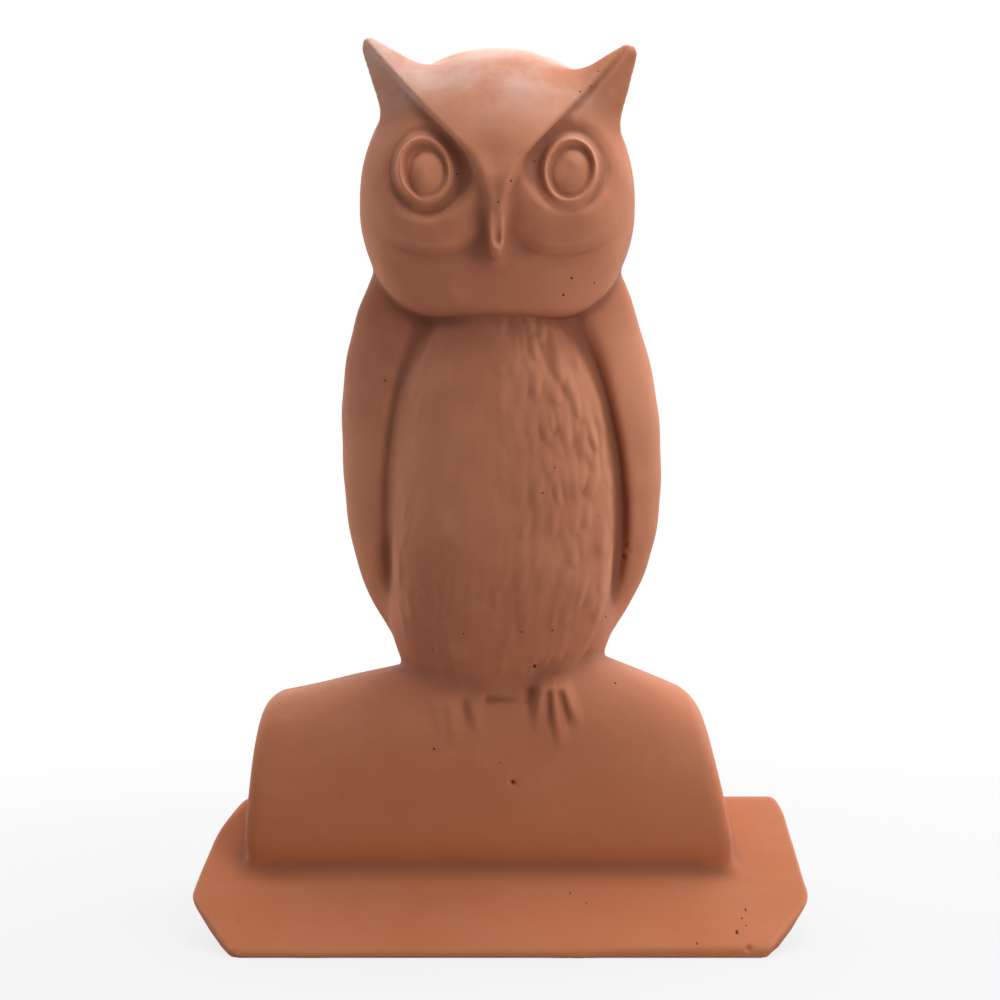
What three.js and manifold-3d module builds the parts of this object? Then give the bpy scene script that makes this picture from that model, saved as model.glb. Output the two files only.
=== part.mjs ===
// An owl roof finial in fired terracotta: an eared owl that stands on a perch block, on a ridge tile.
// The whole finial is one casting, hollow in the perch block. Its channel sits over the ridge of a roof.
// Units are millimetres. +Z is up and the owl looks along -Y. The origin is on the ground, under the middle.

import * as THREE from "three";
import { mergeVertices } from "three/addons/utils/BufferGeometryUtils.js";
import Module from "manifold-3d";

const wasm = await Module();
wasm.setup();

// Driving dimensions

const TILE = {
  length: 300, // along the ridge, X
  halfDepth: 118.5, // from the ridge line to the lower edge, Y
  ridge: 58, // height of the ridge line
  ridgeRound: 10, // radius that softens the ridge line
  pitch: THREE.MathUtils.degToRad(26),
  wall: 10,
  undercut: 0.6, // how far the ends and the cut corners come in for 1 mm of depth
};
const TILE_FLARE = { left: 11, right: 7 }; // each end is this much shorter at the ridge than lower down
const TILE_CORNER = { along: { left: 25, right: 23 }, across: 39 }; // corners cut off in plan
const RIDGE_END = { left: 10, right: 3 }; // worn off the top of each ridge end, at 45 degrees

const PERCH = {
  left: -126,
  right: 114,
  leftLean: 0.09, // how far each end comes in for 1 mm of height
  rightLean: 0.2,
  bottom: 20,
  halfDepth: 62,
  power: 3.2, // squareness of its section
  crest: 143, // height of its highest point
  crestX: 25.8, // where that point is
  leftSlope: Math.tan(THREE.MathUtils.degToRad(12)),
  rightSlope: Math.tan(THREE.MathUtils.degToRad(22)),
  round: 7, // radius of the end edges
};

const BODY = { x: 0, z: 205, half: 65.5, front: 60, back: 50, up: 130, down: 117, flat: [2.1, 2.1], power: 2.4 };
const WING = { outer: 83.3, z: 244, up: 138, down: 121, top: 336, bottom: 140, y: 6, power: 2.3 };
const GROOVE = { half: 61, inset: 11 }; // line between the breast and each wing
const LEAN = 1.6; // the body sways this much to each side of its axis

const HEAD = { x: -1.4, z: 368, half: 71.8, front: 60, back: 54, up: 78.5, down: 66.5, flat: [2.12, 2.5], power: 2.6 };
const FACE_SET_BACK = 4.5; // the face lies this far behind the brow
const BROW = { tip: 352, drop: 16, tipRound: 5, slope: 1, bend: 0.0022 }; // lower edge of the hood
const EARS = [
  { base: [-39.5, -6, 411], tip: [-71, -14, 452], radius: 22.5 },
  { base: [41, -6, 408], tip: [70.6, -14, 448.5], radius: 22.5 },
];
const EYE = { x: 36, z: 376.5, tilt: 0.22, ringHalf: 12.6, ringUp: 16.2, ringWire: 1.7, ballHalf: 9, ballUp: 12.3 };
const BEAK = { top: 380, tip: 331, half: 8.2, tipHalf: 4, topY: -60, tipY: -73, power: 2.8 };
const CHEEK = { x: 32, z: 361, y: -39, half: 31, deep: 17.5, up: 33 };

const TUFT = { long: 17, wide: 8.4, high: 3.6, rows: 9, low: 168, rowStep: 14.4, columnStep: 11.5 };
const TOES = [
  { x: -31, top: 120, low: 104 },
  { x: -22.5, top: 121, low: 95 },
  { x: -11, top: 121, low: 99 },
  { x: 20.5, top: 124, low: 102 },
  { x: 28.5, top: 124, low: 96 },
  { x: 37.5, top: 123, low: 105 },
];
const TOE = { radius: 4.6, sunk: 2.6 }; // each toe lies on the perch, sunk into it by this much
const TAIL = { half: 26, top: 196, bottom: 108, topY: 45, bottomY: 51, thick: 8, feathers: 3 };

const HOLLOW = { left: -106, right: 88, halfDepth: 44, ceiling: 94 }; // room in the perch block

const TERRACOTTA = new THREE.MeshStandardMaterial({ color: 0xb0714f, roughness: 0.88, metalness: 0 });

// Small tools for shaping

// Distance at which the direction (u, v) meets a rounded square of half-width 1.
function reach(u, v, power) {
  return (Math.abs(u) ** power + Math.abs(v) ** power) ** (-1 / power);
}

// Half-width at height z of a swelling that is 1 at its middle and closes at its two ends.
function swell(z, middle, up, down, power) {
  const t = Math.abs(z - middle) / (z > middle ? up : down);
  return Math.max(1 - t ** power, 0) ** (1 / power);
}

function smoothstep(value, from, to) {
  return THREE.MathUtils.smoothstep(value, from, to);
}

// Moves each point of a geometry by a function that changes the vector it is given.
function reshape(geometry, move) {
  const position = geometry.attributes.position;
  const point = new THREE.Vector3();
  for (let i = 0; i < position.count; i += 1) {
    point.fromBufferAttribute(position, i);
    move(point);
    position.setXYZ(i, point.x, point.y, point.z);
  }
  return geometry;
}

// A closed three.js geometry as a solid that can be joined and cut.
function solid(geometry) {
  const bare = geometry.clone();
  bare.deleteAttribute("normal");
  bare.deleteAttribute("uv");
  const merged = mergeVertices(bare, 1e-4);
  return new wasm.Manifold(
    new wasm.Mesh({
      numProp: 3,
      vertProperties: new Float32Array(merged.attributes.position.array),
      triVerts: new Uint32Array(merged.index.array),
    }),
  );
}

function join(parts) {
  return parts.reduce((whole, part) => whole.add(part));
}

// A ball stretched to a rounded block, with its own reach to the front, the back, the top and the bottom.
// flat says how square it is in the view from the front, above and below its middle.
function roundedBall(form, sides, levels) {
  const ball = new THREE.SphereGeometry(1, sides, levels).rotateX(Math.PI / 2);
  const [flatAbove, flatBelow] = form.flat;
  return reshape(ball, (p) => {
    const flat = p.z > 0 ? flatAbove : flatBelow;
    const high = (Math.abs(p.x) ** flat + Math.abs(p.z) ** flat) ** (1 / flat);
    const size = reach(high, p.y, form.power);
    p.multiplyScalar(size);
    p.x = form.x + form.half * p.x;
    p.y *= p.y < 0 ? form.front : form.back;
    p.z = form.z + p.z * (p.z > 0 ? form.up : form.down);
  });
}

// A column of rounded sections between two heights: section(z) gives its centre and its half-sizes.
function column(bottom, top, sides, levels, section) {
  const tube = new THREE.CylinderGeometry(1, 1, 1, sides, levels).rotateX(Math.PI / 2);
  return reshape(tube, (p) => {
    const z = THREE.MathUtils.lerp(bottom, top, p.z + 0.5);
    const { x, y, half, deep, power } = section(z);
    const size = p.x === 0 && p.y === 0 ? 0 : reach(p.x, p.y, power) * Math.hypot(p.x, p.y);
    p.set(x + half * p.x * size, y + deep * p.y * size, z);
  });
}

function ellipsoid(centre, radii, tilt, sides, levels) {
  return new THREE.SphereGeometry(1, sides, levels)
    .rotateX(Math.PI / 2)
    .scale(...radii)
    .rotateY(tilt)
    .translate(...centre);
}

// A flat outline in X and Z, made thick along Y.
function plate(shape, front, back) {
  const turn = new THREE.Matrix4().makeBasis(
    new THREE.Vector3(1, 0, 0),
    new THREE.Vector3(0, 0, 1),
    new THREE.Vector3(0, -1, 0),
  );
  const settings = { depth: back - front, bevelEnabled: false, curveSegments: 8 };
  return new THREE.ExtrudeGeometry(shape, settings).applyMatrix4(turn).translate(0, back, 0);
}

// A flat outline in Y and Z, run along X.
function rail(shape, left, right) {
  const turn = new THREE.Matrix4().makeBasis(
    new THREE.Vector3(0, 1, 0),
    new THREE.Vector3(0, 0, 1),
    new THREE.Vector3(1, 0, 0),
  );
  const settings = { depth: right - left, bevelEnabled: false, curveSegments: 4 };
  return new THREE.ExtrudeGeometry(shape, settings).applyMatrix4(turn).translate(left, 0, 0);
}

function outline(points) {
  return new THREE.Shape(points.map(([u, v]) => new THREE.Vector2(u, v)));
}

// The ridge tile

const TILE_FALL = Math.tan(TILE.pitch);
const CHANNEL_RIDGE = TILE.ridge - TILE.wall / Math.cos(TILE.pitch);
const CHANNEL_HALF = CHANNEL_RIDGE / TILE_FALL;

function tileTop(y) {
  return TILE.ridge - (Math.abs(y) - TILE.ridgeRound / 2) * TILE_FALL;
}

function tileSection() {
  const soft = TILE.ridgeRound;
  const lip = tileTop(TILE.halfDepth);
  const shoulder = tileTop(soft);
  const shape = new THREE.Shape();
  shape.moveTo(-TILE.halfDepth, 0);
  shape.lineTo(-CHANNEL_HALF, 0);
  shape.lineTo(0, CHANNEL_RIDGE);
  shape.lineTo(CHANNEL_HALF, 0);
  shape.lineTo(TILE.halfDepth, 0);
  shape.lineTo(TILE.halfDepth, lip);
  shape.lineTo(soft, shoulder);
  shape.quadraticCurveTo(0, tileTop(0), -soft, shoulder);
  shape.lineTo(-TILE.halfDepth, lip);
  return shape;
}

// The plan of the tile: flared ends and cut corners.
function tilePlan() {
  const half = TILE.length / 2;
  const cut = TILE.halfDepth - TILE_CORNER.across;
  const { left, right } = TILE_CORNER.along;
  return outline([
    [half - TILE_FLARE.right, 0],
    [half, cut],
    [half - right, TILE.halfDepth],
    [-half + left, TILE.halfDepth],
    [-half, cut],
    [-half + TILE_FLARE.left, 0],
    [-half, -cut],
    [-half + left, -TILE.halfDepth],
    [half - right, -TILE.halfDepth],
    [half, -cut],
  ]);
}

function wornRidgeEnd(side) {
  const end = side < 0 ? "left" : "right";
  const edge = RIDGE_END[end] * Math.SQRT2;
  const block = new THREE.BoxGeometry(edge, TILE.halfDepth, edge).rotateY(Math.PI / 4);
  return solid(block.translate(side * (TILE.length / 2 - TILE_FLARE[end]), 0, TILE.ridge));
}

// The ends and the corners lean in under the top face, as a slab does that was trimmed with a slanted knife.
function ridgeTile() {
  const plan = new THREE.ExtrudeGeometry(tilePlan(), { depth: TILE.ridge * 2, bevelEnabled: false });
  reshape(plan, (p) => {
    p.x -= Math.sign(p.x) * TILE.undercut * (tileTop(p.y) - p.z);
  });
  const slab = solid(rail(tileSection(), -TILE.length, TILE.length)).intersect(solid(plan));
  return slab.subtract(wornRidgeEnd(-1)).subtract(wornRidgeEnd(1));
}

// The perch block

function crestHeight(x) {
  const away = x - PERCH.crestX;
  return PERCH.crest - (away < 0 ? -away * PERCH.leftSlope : away * PERCH.rightSlope);
}

// How far a point of the perch moves along X, because its ends lean in.
function leanIn(x, z) {
  const lean = x < 0 ? PERCH.leftLean : -PERCH.rightLean;
  return (z - 50) * lean * smoothstep(Math.abs(x), 40, 100);
}

// Places along the perch, each with how far the section is drawn in there, so that the ends are rounded over.
function perchStations() {
  const stations = [];
  for (const t of [0, 0.12, 0.4, 1]) {
    stations.push({ x: PERCH.left + PERCH.round * t, inset: PERCH.round * (1 - Math.sqrt(1 - (1 - t) ** 2)) });
  }
  for (const x of [-60, PERCH.crestX, 60]) {
    stations.push({ x, inset: 0 });
  }
  for (const t of [1, 0.4, 0.12, 0]) {
    stations.push({ x: PERCH.right - PERCH.round * t, inset: PERCH.round * (1 - Math.sqrt(1 - (1 - t) ** 2)) });
  }
  return stations;
}

// A block along X whose section is the upper half of a rounded square.
function perch() {
  const stations = perchStations();
  const tube = new THREE.CylinderGeometry(1, 1, 1, 32, stations.length - 1).rotateZ(-Math.PI / 2);
  reshape(tube, (p) => {
    const { x, inset } = stations[Math.round((p.x + 0.5) * (stations.length - 1))];
    const around = Math.hypot(p.y, p.z);
    const size = around === 0 ? 0 : reach(p.y / around, p.z / around, PERCH.power);
    p.y *= size * (PERCH.halfDepth - inset);
    const crest = crestHeight(x + leanIn(x, crestHeight(x)));
    p.z = PERCH.bottom + size * p.z * (crest - inset - PERCH.bottom);
    p.x = x + leanIn(x, p.z);
  });
  const depth = 2 * PERCH.crest;
  const ground = new THREE.BoxGeometry(2 * TILE.length, TILE.length, depth).translate(0, 0, PERCH.bottom - depth / 2);
  return solid(tube).subtract(solid(ground));
}

// The owl's body, wings and tail

function sway(z) {
  const along = THREE.MathUtils.clamp(z, 120, 340);
  return LEAN * Math.cos((Math.PI * (along - 190)) / 140);
}

function body() {
  return solid(reshape(roundedBall(BODY, 28, 20), (p) => p.setX(p.x + sway(p.z))));
}

function wingOuter(z) {
  return WING.outer * swell(z, WING.z, WING.up, WING.down, z > WING.z ? 2 : 2.5);
}

function grooveHalf(z) {
  return GROOVE.half * swell(z, BODY.z, BODY.up, BODY.down, 2);
}

function wing(side) {
  const lobe = column(WING.bottom, WING.top, 18, 10, (z) => {
    const outer = wingOuter(z);
    const inner = grooveHalf(z) - GROOVE.inset;
    const deep = 20 + 26 * smoothstep(z, 138, 215) - 14 * smoothstep(z, 285, 335);
    const taper = 1 - 0.25 * smoothstep(z, 325, 336);
    return {
      x: side * (outer + inner) * 0.5 + sway(z),
      y: WING.y,
      half: Math.max((outer - inner) / 2, 2) * taper,
      deep: deep * taper,
      power: WING.power,
    };
  });
  return solid(lobe);
}

function tailFeather(side) {
  const offset = (side * TAIL.half * 2) / TAIL.feathers;
  const feather = column(TAIL.bottom, TAIL.top, 8, 2, (z) => {
    const down = 1 - (z - TAIL.bottom) / (TAIL.top - TAIL.bottom);
    return {
      x: offset * (0.55 + 0.45 * down),
      y: THREE.MathUtils.lerp(TAIL.topY, TAIL.bottomY, down) - TAIL.thick / 2,
      half: (TAIL.half / TAIL.feathers) * (0.8 + 0.3 * down),
      deep: TAIL.thick * (0.6 + 0.4 * down),
      power: 2.4,
    };
  });
  return solid(feather);
}

function tail() {
  const rump = ellipsoid([0, TAIL.topY - 14, TAIL.top - 48], [TAIL.half, 19, 52], 0, 14, 8);
  return join([solid(rump), ...[-1, 0, 1].map((side) => tailFeather(side))]);
}

// Feather tufts on the breast

function breastY(x, z) {
  const up = z > BODY.z ? BODY.up : BODY.down;
  const flat = BODY.flat[0];
  const high = (Math.abs(x / BODY.half) ** flat + Math.abs((z - BODY.z) / up) ** flat) ** (1 / flat);
  return -BODY.front * Math.max(1 - high ** BODY.power, 0) ** (1 / BODY.power);
}

// A lozenge with its widest place above the middle, so that it lies on the breast with a long point down.
function tuft(x, z) {
  const lobe = new THREE.OctahedronGeometry(1);
  reshape(lobe, (p) => {
    const { wide, high, long } = TUFT;
    p.set((p.x * wide) / 2, (p.y * high) / 2, p.z > 0 ? p.z * long * 0.38 : p.z * long * 0.62);
  });
  const step = 2;
  const acrossSlope = (breastY(x + step, z) - breastY(x - step, z)) / (2 * step);
  const upSlope = (breastY(x, z + step) - breastY(x, z - step)) / (2 * step);
  const across = new THREE.Vector3(1, acrossSlope, 0).normalize();
  const outward = new THREE.Vector3(acrossSlope, -1, upSlope).normalize();
  const up = new THREE.Vector3().crossVectors(across, outward.clone().negate()).normalize();
  const place = new THREE.Matrix4().makeBasis(across, outward.clone().negate(), up);
  place.setPosition(x + sway(z), breastY(x, z), z);
  return solid(lobe.applyMatrix4(place));
}

function tufts() {
  const all = [];
  for (let row = 0; row < TUFT.rows; row += 1) {
    const z = TUFT.low + row * TUFT.rowStep;
    const room = grooveHalf(z) - GROOVE.inset - TUFT.wide / 2;
    const shift = row % 2 === 0 ? 0 : TUFT.columnStep / 2;
    const count = Math.floor((room - shift) / TUFT.columnStep);
    for (let column = -count - (shift > 0 ? 1 : 0); column <= count; column += 1) {
      all.push(tuft(column * TUFT.columnStep + shift, z));
    }
  }
  return all;
}

// The head

function browHeight(x) {
  const away = Math.abs(x);
  return BROW.tip + BROW.drop * (1 - Math.exp(-away / BROW.tipRound)) + BROW.slope * away + BROW.bend * away * away;
}

// Everything above the brow line, as a plate in front of and behind the head.
function aboveBrow() {
  const edge = [];
  for (const away of [92, 70, 55, 42, 30, 20, 13, 8, 4.5, 2]) {
    edge.push([HEAD.x - away, browHeight(away)]);
  }
  edge.push([HEAD.x, browHeight(0)]);
  for (const [x, z] of edge.slice(0, -1).reverse()) {
    edge.push([2 * HEAD.x - x, z]);
  }
  return solid(plate(outline([[HEAD.x + 92, 520], [HEAD.x - 92, 520], ...edge]), -120, 100));
}

// A cone that leans out to the tip of the ear, with a rounded point.
function ear({ base, tip, radius }, setBack) {
  const foot = new THREE.Vector3(...base);
  const axis = new THREE.Vector3(...tip).sub(foot);
  const length = axis.length();
  const profile = [
    [0, -0.1],
    [1.02, -0.1],
    [1, 0.08],
    [0.58, 0.5],
    [0.3, 0.8],
    [0.17, 0.93],
    [0.09, 0.985],
    [0, 1],
  ].map(([r, t]) => new THREE.Vector2(r * radius, t * length));
  const cone = new THREE.LatheGeometry(profile, 10).scale(1, 1, 0.78);
  const turn = new THREE.Quaternion().setFromUnitVectors(new THREE.Vector3(0, 1, 0), axis.normalize());
  cone.applyQuaternion(turn).translate(foot.x, foot.y + setBack, foot.z);
  return solid(cone);
}

function eyeParts(side) {
  const x = HEAD.x + side * EYE.x;
  const tilt = side * EYE.tilt;
  const ring = new THREE.TorusGeometry(1, 0.14, 5, 20)
    .rotateX(Math.PI / 2)
    .scale(EYE.ringHalf, EYE.ringWire / 0.14, EYE.ringUp)
    .rotateY(tilt)
    .rotateZ(side * 0.16)
    .translate(x, -51.6, EYE.z + 1.5);
  return {
    socket: solid(ellipsoid([x - side * 0.5, -62, EYE.z + 3], [21.5, 17, 25.5], tilt, 18, 10)),
    parts: [
      solid(ellipsoid([x, -43, EYE.z + 1.5], [17, 10.5, 20.5], tilt, 16, 10)),
      solid(ring),
      solid(ellipsoid([x, -50, EYE.z - 0.8], [EYE.ballHalf, 7.5, EYE.ballUp], tilt, 12, 6)),
    ],
  };
}

function cheek(side) {
  const centre = [HEAD.x + side * CHEEK.x, CHEEK.y, CHEEK.z];
  return solid(ellipsoid(centre, [CHEEK.half, CHEEK.deep, CHEEK.up], 0, 18, 10));
}

function beak() {
  const shaft = column(BEAK.tip, BEAK.top, 12, 8, (z) => {
    const up = (z - BEAK.tip) / (BEAK.top - BEAK.tip);
    const curl = 3.5 * Math.max(0, 1 - up * 7);
    const front = THREE.MathUtils.lerp(BEAK.tipY, BEAK.topY, up ** 1.4) + curl;
    const deep = 4 + 9 * up ** 0.6;
    const half = THREE.MathUtils.lerp(BEAK.tipHalf, BEAK.half, Math.min(1, up * 3)) - curl * 0.4;
    return { x: HEAD.x, y: front + deep, half, deep, power: BEAK.power };
  });
  return solid(shaft);
}

function head() {
  const mask = aboveBrow();
  const hoodForm = { ...HEAD, half: HEAD.half - 0.3, up: HEAD.up - 0.3, back: HEAD.back - 0.3 };
  const faceForm = { ...HEAD, front: HEAD.front - FACE_SET_BACK };
  const hood = join([solid(roundedBall(hoodForm, 36, 24)), ...EARS.map((e) => ear(e, 0))]).intersect(mask);
  const eyes = [-1, 1].map((side) => eyeParts(side));
  let face = join([solid(roundedBall(faceForm, 36, 24)), cheek(-1), cheek(1), ...EARS.map((e) => ear(e, 4))]);
  for (const eye of eyes) {
    face = face.subtract(eye.socket);
  }
  return join([face, hood, beak(), ...eyes.flatMap((eye) => eye.parts)]);
}

// The feet: toes that come out under the breast and grip the front of the perch

function perchFront(x, z) {
  const high = (z - PERCH.bottom) / (crestHeight(x) - PERCH.bottom);
  return -PERCH.halfDepth * (1 - high ** PERCH.power) ** (1 / PERCH.power);
}

function toe({ x, top, low }) {
  const start = new THREE.Vector3(x, perchFront(x, top) + TOE.sunk, top);
  const end = new THREE.Vector3(x * 1.04, perchFront(x, low) + TOE.sunk, low);
  const along = end.clone().sub(start);
  const form = new THREE.CapsuleGeometry(TOE.radius, along.length(), 3, 8);
  const turn = new THREE.Quaternion().setFromUnitVectors(new THREE.Vector3(0, 1, 0), along.normalize());
  form.applyQuaternion(turn);
  const middle = start.add(end).multiplyScalar(0.5);
  return solid(form.translate(middle.x, middle.y, middle.z));
}

// The hollow under the owl, open below

function channel() {
  const below = -20;
  const shape = outline([
    [-CHANNEL_HALF + below / TILE_FALL, below],
    [CHANNEL_HALF - below / TILE_FALL, below],
    [0, CHANNEL_RIDGE],
  ]);
  return solid(rail(shape, -TILE.length, TILE.length));
}

function cavity() {
  const length = HOLLOW.right - HOLLOW.left;
  const height = HOLLOW.ceiling * 2;
  const room = new THREE.BoxGeometry(length, HOLLOW.halfDepth * 2, height);
  return solid(room.translate((HOLLOW.left + HOLLOW.right) / 2, 0, HOLLOW.ceiling - height / 2));
}

// One casting

function owlFinial() {
  const bird = join([body(), wing(-1), wing(1), tail(), head(), ...tufts()]);
  const base = join([ridgeTile(), perch(), ...TOES.map((t) => toe(t))]);
  return bird.add(base).subtract(cavity()).subtract(channel());
}

function toMesh(name, form, material) {
  const { vertProperties, triVerts } = form.getMesh();
  const geometry = new THREE.BufferGeometry();
  geometry.setAttribute("position", new THREE.BufferAttribute(new Float32Array(vertProperties), 3));
  geometry.setIndex(new THREE.BufferAttribute(new Uint32Array(triVerts), 1));
  geometry.computeVertexNormals();
  const mesh = new THREE.Mesh(geometry, material);
  mesh.name = name;
  return mesh;
}

const finial = new THREE.Group();
finial.add(toMesh("owl_finial", owlFinial(), TERRACOTTA));

export default finial;
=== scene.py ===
# %% [markdown]
# An owl in terracotta stands on the ridge of a roof. The real finial is one casting: soft clay was
# pressed into a mould, taken out, touched up by hand and fired. So there is one piece here too.
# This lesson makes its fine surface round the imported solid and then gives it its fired-clay finish.
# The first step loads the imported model. It stays where it is, and it gives the sizes that follow.

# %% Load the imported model
import math

import bpy
import numpy as np
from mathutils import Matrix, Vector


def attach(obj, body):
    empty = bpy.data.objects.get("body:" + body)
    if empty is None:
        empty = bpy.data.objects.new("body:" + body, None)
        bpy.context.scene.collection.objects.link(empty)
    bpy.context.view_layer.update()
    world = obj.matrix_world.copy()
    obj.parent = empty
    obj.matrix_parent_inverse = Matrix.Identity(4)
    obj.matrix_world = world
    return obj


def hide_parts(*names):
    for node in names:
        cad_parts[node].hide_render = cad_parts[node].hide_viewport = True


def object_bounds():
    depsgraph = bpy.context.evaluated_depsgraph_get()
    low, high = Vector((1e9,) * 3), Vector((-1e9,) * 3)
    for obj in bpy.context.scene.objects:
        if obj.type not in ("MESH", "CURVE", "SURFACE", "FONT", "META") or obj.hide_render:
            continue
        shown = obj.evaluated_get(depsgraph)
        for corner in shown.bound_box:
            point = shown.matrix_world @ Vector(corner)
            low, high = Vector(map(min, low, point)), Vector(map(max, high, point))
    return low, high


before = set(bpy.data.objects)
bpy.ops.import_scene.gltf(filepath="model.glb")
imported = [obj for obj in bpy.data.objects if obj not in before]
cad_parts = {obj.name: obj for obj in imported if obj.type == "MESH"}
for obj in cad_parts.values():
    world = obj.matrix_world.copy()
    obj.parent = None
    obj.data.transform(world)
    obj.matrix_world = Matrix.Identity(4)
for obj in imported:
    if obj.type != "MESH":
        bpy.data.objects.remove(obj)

import openvdb
from mathutils import Vector

cad_low, cad_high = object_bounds()
print("packed box in mm:", [round(v * 1000, 1) for v in (*cad_low, *cad_high)])

# %% [markdown]
# The camera comes first, because the finial is judged from where the photographer stood: straight in
# front, a little over a metre away and level with the bird's belly. A level camera keeps upright lines
# upright, so the picture needs no correction. The focal length follows from how large the finial appears.

# %% Camera
CAMERA_DISTANCE = 1.066
CAMERA_HEIGHT = 0.213
FOCAL_PIXELS = 2040
IMAGE_PIXELS = 1000

camera_data = bpy.data.cameras.new("camera")
camera_data.sensor_width = 36
camera_data.lens = camera_data.sensor_width * FOCAL_PIXELS / IMAGE_PIXELS
camera_data.clip_start = 0.01
camera = bpy.data.objects.new("camera", camera_data)
camera.location = (0, -CAMERA_DISTANCE, CAMERA_HEIGHT)
camera.rotation_euler = (math.pi / 2, 0, 0)
bpy.context.scene.collection.objects.link(camera)
bpy.context.scene.camera = camera
print("lens in mm:", round(camera_data.lens, 2))

# %% [markdown]
# A clay figure has no flat faces and no sharp joints, so it is hard to build from polygons by hand.
# It is easier to write each form as a field: a number for every point in space, below zero inside the
# clay and above zero outside, and close to the distance in millimetres. Two fields melt together with
# a soft fillet as two lumps of clay do. These small helpers are all that the forms need.

# %% Helpers for fields
MM = 0.001


def melt(a, b, soft):
    """Joins two forms. soft is how many millimetres wide the fillet between them is."""
    return np.minimum(a, b) - np.maximum(soft - np.abs(a - b), 0) ** 2 / (4 * soft)


def trim(a, b, soft):
    """Keeps what is inside both forms, with a rounded edge."""
    return -melt(-a, -b, soft)


def ramp(value, start, end):
    """Goes smoothly from 0 at start to 1 at end."""
    t = np.clip((value - start) / (end - start), 0, 1)
    return t * t * (3 - 2 * t)


def bump(value, centre, width):
    """A soft hump of height 1."""
    return np.exp(-(((value - centre) / width) ** 2))


def rounded(u, v, power):
    """Distance from the middle of a rounded square whose half-width is 1: power 2 is a circle."""
    return (np.abs(u) ** power + np.abs(v) ** power + 1e-9) ** (1 / power)


def swell(z, middle, up, down, power):
    """Half-width, at height z, of a form that is 1 at its middle and closes at both ends."""
    t = np.abs(z - middle) / np.where(z > middle, up, down)
    return np.maximum(1 - t**power, 1e-4) ** (1 / power)


def ellipsoid(x, y, z, centre, radii):
    u, v, w = ((p - c) / r for p, c, r in zip((x, y, z), centre, radii))
    return (np.sqrt(u * u + v * v + w * w + 1e-9) - 1) * min(radii)


def waver(x, y, z):
    """A slow unevenness between about -1 and 1, as a hand leaves it."""
    a = np.sin(x / 17 + 1.3) * np.sin(z / 19 + 2.1) + np.sin(y / 15 + 0.4) * np.sin(z / 23 + x / 31)
    return 0.6 * a + 0.4 * np.sin(x / 8.3 + z / 11) * np.sin(y / 9.1 - z / 7.7)


def in_zone(zone, form, x, y, z):
    """Works a form out only where it can matter, and calls the rest far outside."""
    field = np.full(x.shape, 60, np.float32)
    field[zone] = form(x[zone], y[zone], z[zone])
    return field


print("two walls 2 mm apart melt by", round(float(2 - melt(2.0, 2.0, 6)), 2), "mm")

# %% [markdown]
# The ridge tile is a slab bent over the roof's ridge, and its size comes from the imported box. Its top
# falls to the front and the back at the roof's pitch. Its ends were trimmed with a slanted knife, its
# four corners are cut off, and the ridge ends are worn, the left one most.

# %% Ridge tile
HALF_LENGTH = cad_high.x / MM
HALF_DEPTH = cad_high.y / MM
TILE = {
    "ridge": 58,
    "soft": 5,
    "fall": math.tan(math.radians(26)),
    "wall": 10,
    "undercut": 0.6,
    "across": 39,
    "spare": 0.9,
}
TILE_LEFT = {"flare": 10, "cut": 25, "worn": 8.5}
TILE_RIGHT = {"flare": 4.5, "cut": 24.5, "worn": 2}
CHANNEL_RIDGE = TILE["ridge"] - TILE["wall"] * math.hypot(1, TILE["fall"])


def tile_top(x, y):
    """Height of the tile's upper face. It rises a little towards the right end of each long edge."""
    slope = TILE["fall"] * (TILE["soft"] - np.sqrt(y * y + TILE["soft"] ** 2))
    return TILE["ridge"] + slope + 1.6 * ramp(x, -60, 150) * ramp(np.abs(y), 85, 118)


def by_end(x, name):
    return np.where(x < 0, TILE_LEFT[name], TILE_RIGHT[name])


def tile(x, y, z):
    steep = math.hypot(1, TILE["fall"])
    depth = tile_top(x, y) - z
    ax, ay = np.abs(x), np.abs(y)
    cut = HALF_DEPTH - TILE["across"]
    reach = ax + TILE["undercut"] * depth - HALF_LENGTH - TILE["spare"] + 0.3 * waver(x, y * 2, z)
    ends = (reach + by_end(x, "flare") * np.clip(1 - ay / cut, 0, 1)) * 0.85
    corners = (reach + by_end(x, "cut") / TILE["across"] * (ay - cut)) * 0.76
    worn = (ax - HALF_LENGTH + by_end(x, "flare") + z - TILE["ridge"] + by_end(x, "worn")) * 0.7
    edge = trim(trim(ends, corners, 3.5), worn, 3.5)
    edge = trim(edge, ay - HALF_DEPTH + 0.3 + 0.35 * waver(x * 1.7, y, z), 4)
    slab = trim(-depth / steep, edge, 3)
    return trim(slab, -z, 0.8)


print("channel under the tile is", round(CHANNEL_RIDGE, 1), "mm high")

# %% [markdown]
# The perch is a long block with a rounded top, like a loaf. Its crest is under the owl's left foot,
# and from there it falls to both sides, more to the right. Its ends lean in. Its lower edge turns
# under before it meets the tile, which gives the dark line round its foot.

# %% Perch block
PERCH = {"left": -126, "right": 114, "bottom": 20, "half_depth": 65, "power": 3.2, "crest": 143}
PERCH_LEAN = {"left": 0.075, "right": 0.2}
CREST = {"x": 25.8, "left": math.tan(math.radians(12)), "right": math.tan(math.radians(22))}
PERCH_FOOT = {"inset": 3.2, "height": 9}
PERCH_CORNER = 8.5


def crest_height(x):
    away = x - CREST["x"]
    fall = melt(away * CREST["left"], -away * CREST["right"], 4)
    return PERCH["crest"] + fall


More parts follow.
